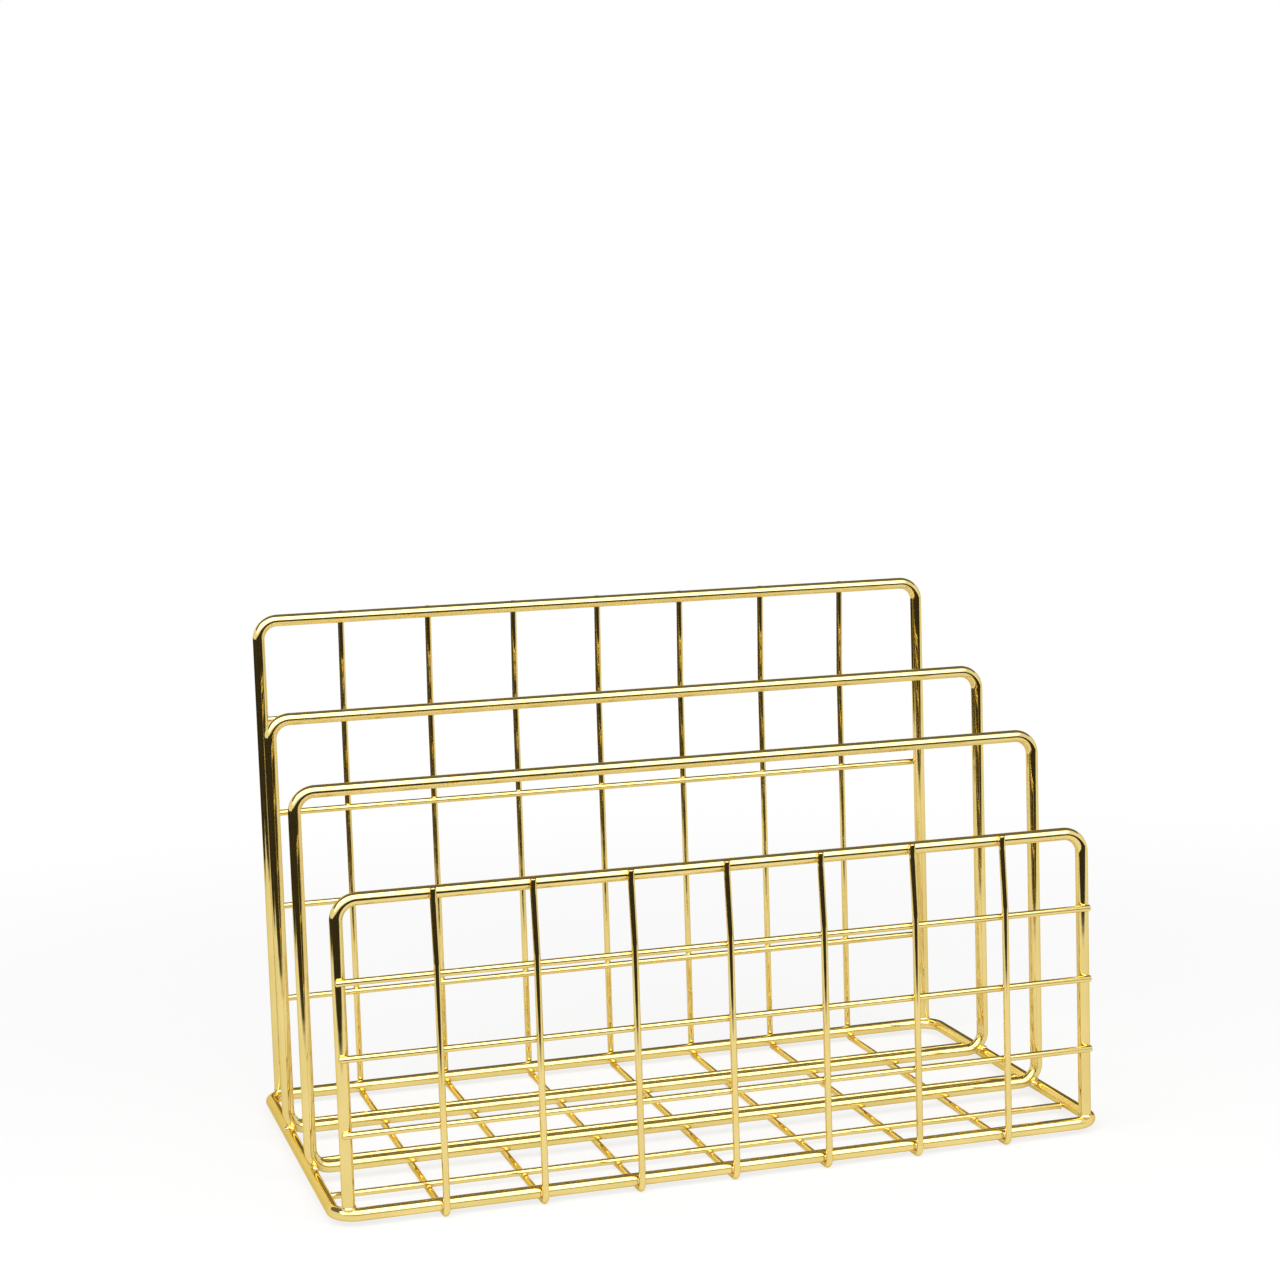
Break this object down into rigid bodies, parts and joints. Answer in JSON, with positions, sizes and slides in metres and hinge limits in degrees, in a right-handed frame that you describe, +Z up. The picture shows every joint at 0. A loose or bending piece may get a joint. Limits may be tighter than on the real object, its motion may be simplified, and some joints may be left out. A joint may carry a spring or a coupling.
{
  "type": "letter rack",
  "caption": "Free-standing desk rack of welded, gold-plated round wire, with stepped upright panels that hold letters, pads and folders on edge in open slots.",
  "frame": {"origin": "middle of the footprint, on the surface that the rack stands on", "axes": "+X along the panels to the viewer's right, +Y from the low front panel to the tall rear panel, +Z up"},
  "size_m": [0.2392, 0.1354, 0.1619],
  "materials": {
    "gold_plating": "bright gold plating on steel wire"
  },
  "bodies": {
    "root": {"base_loop": "gold_plating", "front_frame": "gold_plating", "front_divider": "gold_plating", "rear_divider": "gold_plating", "rear_frame": "gold_plating", "foot_welds": "gold_plating", "divider_welds": "gold_plating", "grid_wire_1": "gold_plating", "grid_wire_2": "gold_plating", "grid_wire_3": "gold_plating", "grid_wire_4": "gold_plating", "grid_wire_5": "gold_plating", "grid_wire_6": "gold_plating", "grid_wire_7": "gold_plating", "front_row_1": "gold_plating", "front_row_2": "gold_plating", "front_row_3": "gold_plating", "rear_row_1": "gold_plating", "rear_row_2": "gold_plating", "rear_row_3": "gold_plating", "rear_row_4": "gold_plating", "floor_wire_1": "gold_plating", "floor_wire_2": "gold_plating", "floor_wire_3": "gold_plating"}
  },
  "joints": []
}
